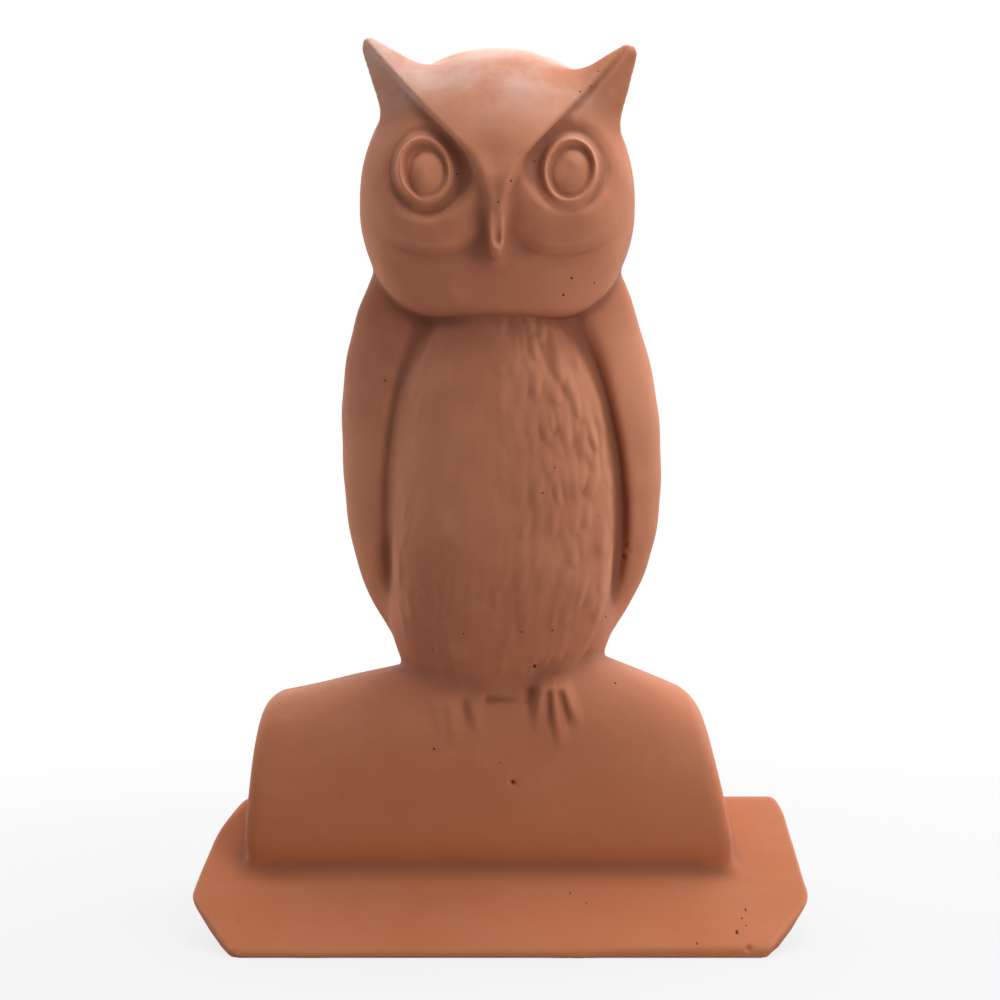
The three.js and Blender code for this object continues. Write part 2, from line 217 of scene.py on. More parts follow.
def perch(x, y, z):
    high = np.maximum(z - PERCH["bottom"], 0) / (crest_height(x) - PERCH["bottom"])
    block = (rounded(y / PERCH["half_depth"], high, PERCH["power"]) - 1) * PERCH["half_depth"]
    left = PERCH["left"] + PERCH_LEAN["left"] * (z - 50) - x
    right = x - PERCH["right"] + PERCH_LEAN["right"] * (z - 50)
    block = trim(block, np.maximum(left, right), PERCH_CORNER)
    above = z - tile_top(x, y)
    return block + PERCH_FOOT["inset"] * bump(above, 0, PERCH_FOOT["height"]) + 0.25 * waver(x, y, z)


print("perch crest at the left end:", round(float(crest_height(np.float32(-110))), 1), "mm")

# %% [markdown]
# Six toes grip the front of the perch, three to a foot. They are soft ridges, pressed in by a thumb
# rather than cut, so each is a swelling of the perch's own face along a short line. The right foot
# is crisper than the left one, and its inner creases are deeper.

# %% Toes
TOES = [
    {"top": (-31, 110), "low": (-29, 99), "wide": 3.2, "high": 1.0},
    {"top": (-24.5, 111), "low": (-22.4, 95), "wide": 3.6, "high": 1.6},
    {"top": (-12.5, 110), "low": (-10.6, 98), "wide": 3.6, "high": 1.3},
    {"top": (21.3, 119), "low": (18.6, 102), "wide": 3.6, "high": 2.6},
    {"top": (26.6, 120), "low": (29.6, 94), "wide": 3.4, "high": 2.8},
    {"top": (32.0, 119.5), "low": (38.6, 103), "wide": 3.6, "high": 2.5},
]
CREASES = [
    {"top": (14.8, 117), "low": (14.0, 105), "wide": 3.2, "high": -1.7},
    {"top": (-6.0, 113.5), "low": (13.0, 113), "wide": 2.2, "high": -1.6},
    {"top": (24.0, 117), "low": (24.2, 101), "wide": 1.6, "high": -0.9},
    {"top": (30.0, 117), "low": (34.0, 102), "wide": 1.7, "high": -1.1},
    {"top": (-17.6, 112), "low": (-16.6, 102), "wide": 2.4, "high": -0.8},
]


def ridge_along(x, z, line):
    """A swelling along a short line that is drawn on the front. It grows slim and low on its way down."""
    (x0, z0), (x1, z1) = line["top"], line["low"]
    length = math.hypot(x1 - x0, z1 - z0)
    along = ((x - x0) * (x1 - x0) + (z - z0) * (z1 - z0)) / length
    near = np.clip(along, 0, length)
    dx = x - x0 - near * (x1 - x0) / length
    dz = z - z0 - near * (z1 - z0) / length
    done = near / length
    high = line["high"] * (1 - 0.75 * done * done)
    wide = line["wide"] * (1 - 0.25 * done)
    return high * np.exp(-(dx * dx + dz * dz) / wide**2)


def base(x, y, z):
    block = perch(x, y, z)
    front = y < -30
    feet = np.zeros_like(block)
    for line in TOES + CREASES:
        feet[front] += ridge_along(x[front], z[front], line)
    return melt(block - feet, tile(x, y, z), 8)


print(len(TOES), "toes and", len(CREASES), "creases")

# %% [markdown]
# The body is an egg, a little square in plan, and it sways slightly to each side as it rises. The two
# wings are one mantle, wider and flatter than the egg, so only its two sides come out beside the breast.
# Where they meet there is a valley, drawn in with a finger, and the breast stands proud of it as a long
# panel with a soft border.

# %% Body and wings
BODY = {"z": 205, "half": 65.5, "front": 60, "back": 50, "up": 130, "down": 117, "scale": 58}
BODY_TAPER = {"inset": 4, "low": 150, "high": 205}
WING = {"outer": 83.3, "z": 244, "up": 138, "down": 121, "bottom": 140, "top": 338, "y": 4, "soft": 8}
WING_DEEP = {"foot": 30, "belly": 14, "thinner": 22}
GROOVE = {"half": 61}
NECK = {"low": 268, "high": 304, "inset": 4.5}
VALLEY = {"wide": 3.8, "flare": 3.5, "deep": 4.8, "bottom": 142, "full": 190, "inward": -0.5}
VALLEY_SHARE = {"left": 0.62, "more_at_right": 0.7}
LEAN = 1.6


def sway(z):
    return LEAN * np.cos(math.pi * (np.clip(z, 120, 340) - 190) / 140)


def groove_half(z):
    return GROOVE["half"] * swell(z, BODY["z"], BODY["up"], BODY["down"], 2)


def egg(x, y, z):
    high = (z - BODY["z"]) / np.where(z > BODY["z"], BODY["up"], BODY["down"])
    half = BODY["half"] - BODY_TAPER["inset"] * ramp(z, BODY_TAPER["low"], BODY_TAPER["high"])
    across = rounded(x / half, high, 2.1)
    form = (rounded(across, y / np.where(y < 0, BODY["front"], BODY["back"]), 2.4) - 1) * BODY["scale"]
    return form + NECK["inset"] * ramp(z, NECK["low"], NECK["high"]) * ramp(-y, 5, 30)


def valley(x, y, z):
    """The groove between breast and wing, drawn in with a finger. It is deepest at the upper right."""
    wide = VALLEY["wide"] + VALLEY["flare"] * ramp(z, 255, 315)
    reach = bump(np.abs(x) - groove_half(z), VALLEY["inward"], wide) * ramp(-y, 2, 20)
    share = VALLEY_SHARE["left"] + VALLEY_SHARE["more_at_right"] * ramp(x, -40, 40)
    rise = ramp(z, VALLEY["bottom"], VALLEY["full"]) * share
    return VALLEY["deep"] * reach * rise


def wings(x, y, z):
    """Both wings at once: a mantle that is wider and flatter than the egg, so that only its sides show."""
    power = np.where(z > WING["z"], 2, 2.5)
    outer = WING["outer"] * swell(z, WING["z"], WING["up"], WING["down"], power)
    deep = WING_DEEP["foot"] + WING_DEEP["belly"] * ramp(z, 138, 205)
    deep = deep - WING_DEEP["thinner"] * ramp(z, 258, 324)
    mantle = (rounded(x / outer, (y - WING["y"]) / deep, 2.3) - 1) * np.minimum(outer, deep) * 1.1
    mantle = trim(mantle, z - WING["top"], WING["soft"])
    return trim(mantle, WING["bottom"] - z, WING["soft"]) + 0.45 * waver(x, y, z)


print("body is widest at", BODY["z"], "mm and the wings at", WING["z"], "mm")

# %% [markdown]
# The breast is covered with plumes: slim lancets that hang in loose rows and follow the panel's outline
# down to the belly. Their right edges stand up most. They are strongest on the right half and almost
# rubbed away in the middle and on the left. They are painted into a height map from a seeded list, which
# the breast then reads. That costs far less than working out each plume at every point in space.

# %% Plumes
MAP_STEP = 0.5
MAP_X = np.arange(-70, 70.01, MAP_STEP)
MAP_Z = np.arange(110, 332.01, MAP_STEP)
PLUME = {"row_step": 10.5, "column_step": 7.6, "long": 32, "half": 3.8, "high": 2.1, "lean": -0.1}


def plume_strength(x, z):
    """How much of the plumes is left: full at the right, little in the middle and at the left."""
    right = ramp(x, -10, 26) * (0.65 + 0.35 * ramp(z, 180, 250))
    left_edge = 0.16 * ramp(-x, 26, 44)
    low_belly = 0.14 * bump(z, 172, 32)
    chin = ramp(-z, -318, -300)
    return (0.07 + 0.93 * right + (left_edge + low_belly) * (1 - right)) * chin


def paint_plume(heights, x, z, tilt, long, half, high):
    """Adds one plume to the map. Its pointed tip is at (x, z) and it reaches up from there."""
    columns = np.abs(MAP_X - x) < half * 2 + abs(tilt) * long + 1
    rows = (MAP_Z > z - 1) & (MAP_Z < z + long + 1)
    px, pz = np.meshgrid(MAP_X[columns], MAP_Z[rows], indexing="ij")
    along = np.clip((pz - z) / long, 0, 1)
    width = half * np.clip(4 * along * (1 - along), 0.001, 1) ** 0.6
    across = np.clip((px - x - tilt * (pz - z)) / width, -1, 1)
    roof = (1 - across**2) ** 0.75 * (1 + 0.45 * across)
    lift = ramp(along, 0, 0.3) * (1 - ramp(along, 0.3, 1))
    patch = np.ix_(columns, rows)
    heights[patch] = np.maximum(heights[patch], high * roof * lift)


def rub(heights, times):
    """Softens the map a little, as handling softens wet clay."""
    for _ in range(times):
        for axis in (0, 1):
            around = np.roll(heights, 1, axis) + np.roll(heights, -1, axis)
            heights = heights / 2 + around / 4
    return heights


def plume_map():
    random = np.random.default_rng(11)
    heights = np.zeros((len(MAP_X), len(MAP_Z)))
    count = 0
    for z in np.arange(122, 314, PLUME["row_step"]):
        half_panel = float(groove_half(max(z, 132))) - 3
        columns = int(half_panel / PLUME["column_step"])
        for column in range(-columns, columns + 1):
            place = column + random.uniform(-0.45, 0.45)
            x = place * PLUME["column_step"]
            tip = z + random.uniform(-5, 5)
            flow = x * float(groove_half(tip + 8) - groove_half(tip - 8)) / (16 * half_panel)
            tilt = flow - PLUME["lean"] * (1 - ramp(x, 10, 30)) + random.normal(0, 0.1)
            high = PLUME["high"] * random.uniform(0.3, 1.15) * float(plume_strength(x, tip + 12))
            long = PLUME["long"] * random.uniform(0.6, 1.15)
            half = PLUME["half"] * random.uniform(0.6, 1.15) * (0.7 + 0.3 * float(ramp(x, -20, 10)))
            paint_plume(heights, x, tip, tilt, long, half, high)
            count += 1
    print(count, "plumes, the highest", round(heights.max(), 2), "mm")
    return rub(heights, 2)


PLUMES = plume_map()


def read_map(heights, x, z):
    """Height of the map at each point, blended between its four nearest cells."""
    u = np.clip((x - MAP_X[0]) / MAP_STEP, 0, len(MAP_X) - 1.001)
    v = np.clip((z - MAP_Z[0]) / MAP_STEP, 0, len(MAP_Z) - 1.001)
    i, j = u.astype(int), v.astype(int)
    u, v = u - i, v - j
    near = heights[i, j] * (1 - v) + heights[i, j + 1] * v
    far = heights[i + 1, j] * (1 - v) + heights[i + 1, j + 1] * v
    return near * (1 - u) + far * u


def breast(x, y, z):
    form = egg(x, y, z)
    front = y < -12
    border = groove_half(z[front])
    inside = ramp(border - np.abs(x[front]), 1, 6)
    slow = 0.5 * waver(x[front] * 1.6, y[front], z[front])
    form[front] -= (read_map(PLUMES, x[front], z[front]) + slow) * inside * ramp(-y[front], 12, 26)
    return form


# %% [markdown]
# Nobody sees the back from the street, and its maker kept it plain: a smooth mantle and a short tail
# of three feathers that lies down over the perch.

# %% Tail
TAIL = {"half": 26, "top": 196, "bottom": 108, "top_y": 45, "bottom_y": 51, "thick": 8, "feathers": 3}


def tail(x, y, z):
    rump_z = TAIL["top"] - 48
    form = ellipsoid(x, y, z, (0, TAIL["top_y"] - 14, rump_z), (TAIL["half"], 19, 52))
    down = np.clip((TAIL["top"] - z) / (TAIL["top"] - TAIL["bottom"]), -0.2, 1.2)
    middle_y = TAIL["top_y"] + (TAIL["bottom_y"] - TAIL["top_y"]) * down - TAIL["thick"] / 2
    deep = TAIL["thick"] * (0.6 + 0.4 * np.abs(down))
    half = TAIL["half"] / TAIL["feathers"] * (0.8 + 0.3 * down)
    for side in (-1, 0, 1):
        middle_x = side * 2 * TAIL["half"] / TAIL["feathers"] * (0.55 + 0.45 * down)
        feather = (rounded((x - middle_x) / half, (y - middle_y) / deep, 2.4) - 1) * 7
        feather = trim(trim(feather, TAIL["bottom"] + 4 * abs(side) - z, 7), z - TAIL["top"], 7)
        form = melt(form, feather, 1.5)
    return form


def bird(x, y, z):
    xs = x - sway(z)
    form = melt(breast(xs, y, z), wings(xs, y, z), 3) + valley(xs, y, z)
    back = (y > 5) & (z < 215)
    return melt(form, in_zone(back, tail, x, y, z), 4)


print("tail reaches down to", TAIL["bottom"], "mm")

# %% [markdown]
# The head is a ball with flattened sides and a nearly flat chin that overhangs the breast. A hood lies
# over it. The hood's lower edge is the owl's frown: it starts at the tips of the two ears, sweeps down
# between the eyes and runs on as the two rims of the beak. It is cut in front only, and on each side of
# the head it leaves a low step, which shows from behind as a thin line. The forehead slants back as it
# rises. The face is the same ball, set back by a few millimetres, so that the brow shades the eyes.

# %% Head, ears and brow
HEAD = {"x": -1.4, "z": 368, "half": 71.8, "front": 60, "back": 54, "up": 79.2, "down": 66.5}
CHIN = 303.5
FOREHEAD = {"slant": 9, "low": 380, "high": 434}
FACE_SET_BACK = 5.5
HOOD = {"ears": 9, "steep": 0.68, "edge": 2.4, "blend": 3, "front_only": 60}
BROW = {"tip": 353.5, "drop": 17, "tip_round": 5, "slope": 1, "bend": 0.0022}
EAR_LEFT = {"base": (-36, -19, 409.5), "tip": (-68.3, -23, 448.4)}
EAR_RIGHT = {"base": (40.5, -19, 406.5), "tip": (70.2, -23, 445.2)}
EAR = {"radius": 20.6, "tip_radius": 2.5, "flatness": 0.85, "keel": 1.2}


def brow_height(away):
    """Height of the hood's lower edge at a distance from the middle of the face."""
    steep = BROW["drop"] * (1 - np.exp(-away / BROW["tip_round"]))
    return BROW["tip"] + steep + BROW["slope"] * away + BROW["bend"] * away * away


def head_ball(x, y, z, front, grow):
    above = z > HEAD["z"]
    low = ramp(-z, -360, -330)
    high = (z - HEAD["z"]) / (np.where(above, HEAD["up"], HEAD["down"] + 3) + grow)
    across = rounded(x / (HEAD["half"] - 1.8 * low + grow), high, np.where(above, 2.12, 2.5))
    slant = FOREHEAD["slant"] * ramp(z, FOREHEAD["low"], FOREHEAD["high"])
    deep = np.where(y < 0, front - slant, HEAD["back"]) + grow
    ball = (rounded(across, y / deep, 2.6 - 0.45 * ramp(z, 370, 402) + 0.5 * low) - 1) * 62
    return trim(ball, CHIN - z, 9)


def ear(x, y, z, form, back):
    """A horn that leans out to its tip, with a soft keel down its front."""
    foot, tip = np.array(form["base"], float), np.array(form["tip"], float)
    axis = tip - foot
    length = np.linalg.norm(axis)
    axis /= length
    px, py, pz = x - foot[0], y - foot[1] - back, z - foot[2]
    along = px * axis[0] + py * axis[1] + pz * axis[2]
    side = np.array([axis[2], 0, -axis[0]]) / math.hypot(axis[0], axis[2])
    across = px * side[0] + pz * side[2]
    deep = py - along * axis[1]
    taper = np.clip(1 - along / length, 0, 1.2)
    wide = EAR["tip_radius"] + EAR["radius"] * taper**0.95
    thick = EAR["tip_radius"] + EAR["radius"] * EAR["flatness"] * taper
    horn = (rounded(across / wide, deep / thick, EAR["keel"]) - 1) * np.minimum(wide, thick) * 0.85
    return trim(horn, along - length, 4)


def ears(x, y, z, back):
    return np.where(x < 0, ear(x, y, z, EAR_LEFT, back), ear(x, y, z, EAR_RIGHT, back))


print("brow over the eye's middle:", round(float(brow_height(36.0)), 1), "mm")

# %% [markdown]
# Each eye sits in a wide soft socket, deepest towards the beak. In it the clay swells again, and round
# that swelling runs a thin raised lid, drawn crisply at its upper outer and lower inner side. The ball
# lies a little low, so a dark groove shows mostly above it. Below, the cheeks swell, and they turn under
# before the chin. All of these are one relief on the face.

# %% Face relief
EYE = {"x": 36.4, "z": 377.5, "tilt": 0.18}
SOCKET = {"half": 21, "up": 22, "deep": 5.6, "uneven": 2.6}
BULB = {"half": 14.8, "up": 19, "high": 4.8}
LID = {"half": 12.5, "up": 16.4, "high": 2.1, "wide": 1.2}
BALL = {"half": 9.2, "up": 12.8, "high": 3.5}
EYE_LEFT = {"ball": (-1.9, -3.2), "socket": (-1.4, -1.2)}
EYE_RIGHT = {"ball": (0.6, -1.6), "socket": (0.2, 2.8)}
CHEEK = {"away": 31, "z": 362, "half": 34, "up": 27, "high": 5.4}


def oval(x, z, centre, half, up, tilt=0):
    """Distance from an oval's middle, as a share of its own radius."""
    dx, dz = x - centre[0], z - centre[1]
    u = math.cos(tilt) * dx - math.sin(tilt) * dz
    w = math.sin(tilt) * dx + math.cos(tilt) * dz
    return np.sqrt((u / half) ** 2 + (w / up) ** 2 + 1e-9), u, w


def shifted(x, away, z, name):
    """The same point as one eye sees it, because the two eyes are not quite alike."""
    (away_left, z_left), (away_right, z_right) = EYE_LEFT[name], EYE_RIGHT[name]
    return away - np.where(x < 0, away_left, away_right), z - np.where(x < 0, z_left, z_right)


def eye_relief(x, away, z):
    eye = (EYE["x"], EYE["z"])
    socket, u, w = oval(*shifted(x, away, z, "socket"), eye, SOCKET["half"], SOCKET["up"], EYE["tilt"])
    towards_beak = -(0.85 * u + 0.5 * w) / (np.hypot(u, w) + 4)
    relief = -(SOCKET["deep"] + SOCKET["uneven"] * towards_beak) * (1 - ramp(socket, 0.7, 1.24))
    bulb, _, _ = oval(away, z, eye, BULB["half"], BULB["up"], EYE["tilt"])
    relief += BULB["high"] * (1 - ramp(bulb, 0.8, 1.2))
    lid, u, w = oval(away, z, eye, LID["half"], LID["up"], EYE["tilt"])
    crisp = 0.5 + 0.5 * (0.75 * u + 0.66 * w) ** 2 / (u * u + w * w + 1e-6)
    relief += LID["high"] * crisp * bump((lid - 1) * LID["up"], 0, LID["wide"])
    relief -= 2.2 * (1 - ramp(lid, 0.74, 0.98))
    ball, _, _ = oval(*shifted(x, away, z, "ball"), eye, BALL["half"], BALL["up"], EYE["tilt"])
    return relief + BALL["high"] * np.clip(1 - ball * ball, 0, 1) ** 0.8


def cheek_relief(away, z):
    """The owl's two discs: they end in a soft step under the cheeks, and fade towards the sides."""
    cheek, _, _ = oval(away, z, (CHEEK["away"], CHEEK["z"]), CHEEK["half"], CHEEK["up"])
    fade = (1 - ramp(away, 40, 66)) * ramp(away, 2, 26) * (1 - ramp(z, 350, 388))
    relief = CHEEK["high"] * (1 - ramp(cheek, 0.8, 1.05)) * fade
    relief -= 1.6 * bump(away, 13, 7) * bump(z, 337, 7)
    relief -= 1.2 * bump(z, 327, 8) * (1 - ramp(away, 40, 62))
    return relief + 1.3 * bump(z, 308, 5) * (1 - ramp(away, 30, 55))


def face_relief(x, away, z):
    return eye_relief(x, away, z) + cheek_relief(away, z)


print("lid ring is", 2 * LID["half"], "by", 2 * LID["up"], "mm")

# %% [markdown]
# The beak grows out of the frown. Its two rims carry the brow's edges on down to a short hook, and the
# facet between them is slightly hollow. The same hollow reaches up between the brows and fades there.

# %% Beak
BEAK = {"top": 392, "tip": 330.5, "half": 5.8, "tip_half": 3.2, "top_y": -55.5, "tip_y": -71, "x": -1.2}
BEAK_FLARE = {"z": 358, "bend": 0.013}
BEAK_HOLLOW = {"deep": 2.4, "wide": 2.4, "bottom": 335, "top": 374}
BROW_HOLLOW = {"deep": 2.4, "z": 382, "high": 13}


def beak_half(z):
    """Half the distance between the beak's rims."""
    up = np.clip((z - 334) / 25, 0, 1)
    flare = BEAK_FLARE["bend"] * np.maximum(z - BEAK_FLARE["z"], 0) ** 2
    return BEAK["tip_half"] + (BEAK["half"] - BEAK["tip_half"]) * up + flare


def beak(x, y, z):
    up = np.clip((z - BEAK["tip"]) / (BEAK["top"] - BEAK["tip"]), 0, 1)
    hook = 4.5 * np.clip(1 - up * 6, 0, 1) ** 2
    front = BEAK["tip_y"] + (BEAK["top_y"] - BEAK["tip_y"]) * up**1.35 + hook
    half = beak_half(z) * (1 - 0.35 * np.clip(1 - up * 7, 0, 1) ** 2)
    deep = 6 + 9 * up**0.6
    across = rounded((x - BEAK["x"] * up) / half, (y - front - deep) / deep, 2.5)
    shaft = trim((across - 1) * np.minimum(half, deep), BEAK["tip"] - z, 5)
    return trim(shaft, z - BEAK["top"], 6)


def beak_hollow(x, z):
    """How deep the facet between the rims is at each point, and the softer one between the brows."""
    fade = ramp(z, BEAK_HOLLOW["bottom"], BEAK_HOLLOW["bottom"] + 6)
    fade *= 1 - ramp(z, BEAK_HOLLOW["top"] - 14, BEAK_HOLLOW["top"])
    middle = BEAK["x"] * ramp(z, 331, 384)
    wide = BEAK_HOLLOW["wide"] * (0.8 + 1.1 * ramp(z, 337, 362))
    low = BEAK_HOLLOW["deep"] * fade * bump(x, middle, wide)
    half_way = 0.62 * beak_half(z)
    high = BROW_HOLLOW["deep"] * bump(z, BROW_HOLLOW["z"], BROW_HOLLOW["high"]) * bump(x, middle, half_way)
    return low + high


def head(x, y, z):
    x = x - HEAD["x"]
    away = np.abs(x)
    outward = ramp(away, 30, 62)
    near_beak = (1 - ramp(away, 8, 28)) * (1 - ramp(z, 374, 396))
    hood = melt(head_ball(x, y, z, HEAD["front"], 0.2), ears(x, y, z, 0), HOOD["ears"])
    edge = (brow_height(away) - z) * HOOD["steep"] - HOOD["front_only"] * ramp(y, 0, 30)
    hood = trim(hood, edge, HOOD["edge"] + 2 * near_beak)
    back = HEAD["front"] - FACE_SET_BACK + 4 * outward
    ears_back = 3.5 * (1 - 0.6 * ramp(away, 45, 66))
    face = melt(head_ball(x, y, z, back, -0.4), ears(x, y, z, ears_back), 6)
    face = face - face_relief(x, away, z) * ramp(-y, 14, 34)
    form = melt(face, hood, HOOD["blend"] + 2 * near_beak)
    beak_melt = 6 + 2.5 * ramp(z, 346, 364) - 5 * ramp(z, 374, 388)
    form = melt(form, beak(x, y, z), beak_melt)
    return form + beak_hollow(x, z) * ramp(-y, 45, 52) + 0.2 * waver(x, y, z)


beak_wide = 2 * float(beak_half(BEAK_FLARE["z"]))
print("beak is", round(beak_wide, 1), "mm wide where its rims start to flare")

# %% [markdown]
# A few larger marks were left on the real one: a flake off the right wing, a chipped brow and edge, a
# dent on the tile and a torn spot on the perch. Each is a small shallow bite, placed one by one.

# %% Marks
MARKS = [
    {"at": (68.4, 188.2), "wide": 3.2, "deep": 0.55},
    {"at": (65.0, 190.0), "wide": 1.1, "deep": 1.0},
    {"at": (66.2, 187.0), "wide": 1.1, "deep": 0.8},
    {"at": (63.6, 183.9), "wide": 1.2, "deep": 1.2},
    {"at": (-46.6, 418.2), "wide": 1.5, "deep": 0.6},
    {"at": (-44.0, 415.6), "wide": 1.3, "deep": 0.4},
    {"at": (6.3, 74.0), "wide": 1.3, "deep": 1.3},
    {"at": (-124.4, 13.2), "wide": 2.6, "deep": 0.5},
    {"at": (115.6, 4.0), "wide": 1.4, "deep": 1.3},
]


def marks(x, y, z):
    """How deep the marks bite into the front at each point."""
    bite = np.zeros_like(z)
    for mark in MARKS:
        near = (np.abs(z - mark["at"][1]) < 9) & (np.abs(x - mark["at"][0]) < 9) & (y < -8)
        dx, dz = x[near] - mark["at"][0], z[near] - mark["at"][1]
        bite[near] += mark["deep"] * np.exp(-(dx * dx + dz * dz) / mark["wide"] ** 2)
    return bite


print(len(MARKS), "marks")

# %% [markdown]
# The channel under the tile sits over the roof's ridge, and a square room in the perch saves clay. Both
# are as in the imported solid. The last form puts everything together: what is joined softly was joined
# while the clay was wet, and what is cut is cut last.

# %% The whole casting
HOLLOW = {"left": -106, "right": 88, "half_depth": 44, "ceiling": 94}


def hollow(x, y, z):
    channel = (z - CHANNEL_RIDGE + TILE["fall"] * np.abs(y)) / math.hypot(1, TILE["fall"])
    middle = (HOLLOW["left"] + HOLLOW["right"]) / 2
    half = (HOLLOW["right"] - HOLLOW["left"]) / 2
    room = trim(np.abs(x - middle) - half, np.abs(y) - HOLLOW["half_depth"], 8)
    room = trim(room, z - HOLLOW["ceiling"], 8)
    return melt(channel, room, 2)


def finial(x, y, z):
    low = z < 172
    form = in_zone(z > 84, bird, x, y, z)
    form = melt(form, in_zone(z > 288, head, x, y, z), 2)
    form = melt(form, in_zone(low, base, x, y, z), 3.5) + marks(x, y, z)
    return trim(form, -in_zone(z < 110, hollow, x, y, z), 1)


probe = [np.array([v], float) for v in (0.0, -50.0, 250.0)]
print("field just inside the breast:", round(float(finial(*probe)[0]), 2))

# %% [markdown]
# Now the field becomes a surface. A block of space round the finial is divided into small cells, and
# the field is worked out only near the surface: a coarse sieve of larger blocks finds where that is.
# A volume tool then draws the surface through the cells where the field is zero, and each point is
# moved along the field's slope until it lies on the form itself.

# %% From field to points
CELL = 1.0
SIEVE = 6
SIEVE_REACH = 1.5
BLOCKS_AT_ONCE = 4000
MARGIN = 8.0


def in_batches(form, points, size=400_000):
    """Works a field out for many points, some at a time."""
    parts = [form(*points[i : i + size].T) for i in range(0, len(points), size)]
    return np.concatenate(parts)


def cell_counts():
    low = np.array(cad_low) / MM - MARGIN
    high = np.array(cad_high) / MM + MARGIN
    blocks = np.ceil((high - low) / (CELL * SIEVE)).astype(int)
    return low, blocks


def sieve(low, blocks):
    """The field at the middle of each coarse block."""
    size = CELL * SIEVE
    index = np.stack(np.meshgrid(*[np.arange(n) for n in blocks], indexing="ij"), -1).reshape(-1, 3)
    middles = low + (index + 0.5) * size
    return index, in_batches(finial, middles).astype(np.float32)


def fill_cells():
    low, blocks = cell_counts()
    index, coarse = sieve(low, blocks)
    near = np.abs(coarse) < CELL * SIEVE * SIEVE_REACH
    cells = np.sign(coarse).reshape(blocks)
    for axis in range(3):
        cells = np.repeat(cells, SIEVE, axis)
    cells = (cells * 3 * CELL).astype(np.float32)
    inner = np.stack(np.meshgrid(*[np.arange(SIEVE)] * 3, indexing="ij"), -1).reshape(-1, 3)
    for start in range(0, int(near.sum()), BLOCKS_AT_ONCE):
        chosen = index[near][start : start + BLOCKS_AT_ONCE]
        place = (chosen[:, None, :] * SIEVE + inner[None]).reshape(-1, 3)
        cells[tuple(place.T)] = finial(*(low + place * CELL).T)
    print("cells:", cells.size, "of which worked out:", int(near.sum()) * SIEVE**3)
    return low, cells


def slope(points, step=0.12):
    """The field at each point and its gradient."""
    middle = in_batches(finial, points)
    rise = [in_batches(finial, points + np.eye(3)[axis] * step) - middle for axis in range(3)]
    return middle, np.stack(rise, 1) / step


def settle(points, reach):
    """Moves points onto the surface, by no more than reach."""
    value, gradient = slope(points)
    move = -value / (np.sum(gradient**2, 1) + 1e-6)
    length = np.abs(value) / (np.linalg.norm(gradient, axis=1) + 1e-6)
    move *= np.minimum(1, reach / (length + 1e-6))
    return points + gradient * move[:, None]


def skin():
    low, cells = fill_cells()
    grid = openvdb.FloatGrid()
    grid.copyFromArray(cells)
    points, _, quads = grid.convertToPolygons(isovalue=0.0, adaptivity=0.0)
    points = settle(points * CELL + low, CELL)
    return points, quads[:, ::-1]


skin_points, skin_quads = skin()
print("surface:", len(skin_points), "points and", len(skin_quads), "faces")

# %% [markdown]
# The surface has far more faces than it needs. Blender's Decimate modifier merges them where the clay is
# flat and keeps them where it bends, and after that the points settle onto the form once more.

# %% From points to a Blender mesh
FACE_BUDGET = 190_000


def make_mesh(name, points, quads):
    mesh = bpy.data.meshes.new(name)
    mesh.vertices.add(len(points))
    mesh.vertices.foreach_set("co", (points * MM).astype(np.float32).ravel())
    mesh.loops.add(4 * len(quads))
    mesh.loops.foreach_set("vertex_index", quads.astype(np.int32).ravel())
    mesh.polygons.add(len(quads))
    mesh.polygons.foreach_set("loop_start", np.arange(0, 4 * len(quads), 4, dtype=np.int32))
    mesh.update(calc_edges=True)
    return mesh


def points_of(mesh):
    points = np.empty(len(mesh.vertices) * 3, np.float32)
    mesh.vertices.foreach_get("co", points)
    return points.reshape(-1, 3).astype(float) / MM


def thin_out(piece, budget):
    """Brings the mesh down to about that many triangles."""
    share = budget / (2 * len(piece.data.polygons))
    if share >= 1:
        return
    thinner = piece.modifiers.new("thin out", "DECIMATE")
    thinner.ratio = share
    thinner.use_collapse_triangulate = True
    bpy.context.view_layer.objects.active = piece
    piece.select_set(True)
    bpy.ops.object.modifier_apply(modifier=thinner.name)
    piece.select_set(False)


owl = bpy.data.objects.new("owl_casting", make_mesh("owl_casting", skin_points, skin_quads))
bpy.context.scene.collection.objects.link(owl)
thin_out(owl, FACE_BUDGET)
settled = settle(points_of(owl.data), 0.4)
owl.data.vertices.foreach_set("co", (settled * MM).astype(np.float32).ravel())
owl.data.shade_smooth()
print("mesh:", len(owl.data.vertices), "points and", len(owl.data.polygons), "faces")

# %% [markdown]
# Fired clay is rubbed pale on its edges, and its valleys and hollows are given a painted shade: a darker
# colour where shade falls. The field tells which is which: where the mean of its neighbours is higher than
# the field itself the form bulges, and where it is lower the form is hollow. Near neighbours find the
# edges and the narrow valleys, and far ones find the broad hollows. All three are kept on the mesh as
# attributes, for the material to read.

# %% Edges and hollows
CURVE_REACH = 2.5
BROAD_REACH = 8.0


def curvature(points, reach):
    """Above 0 on edges and bulges and below 0 in valleys, per millimetre."""
    total = -6 * in_batches(finial, points)
    for axis in range(3):
        for way in (-reach, reach):
            total = total + in_batches(finial, points + np.eye(3)[axis] * way)
    return total / reach**2


def keep_attribute(mesh, name, values):
    layer = mesh.attributes.new(name, "FLOAT", "POINT")
    layer.data.foreach_set("value", values.astype(np.float32))


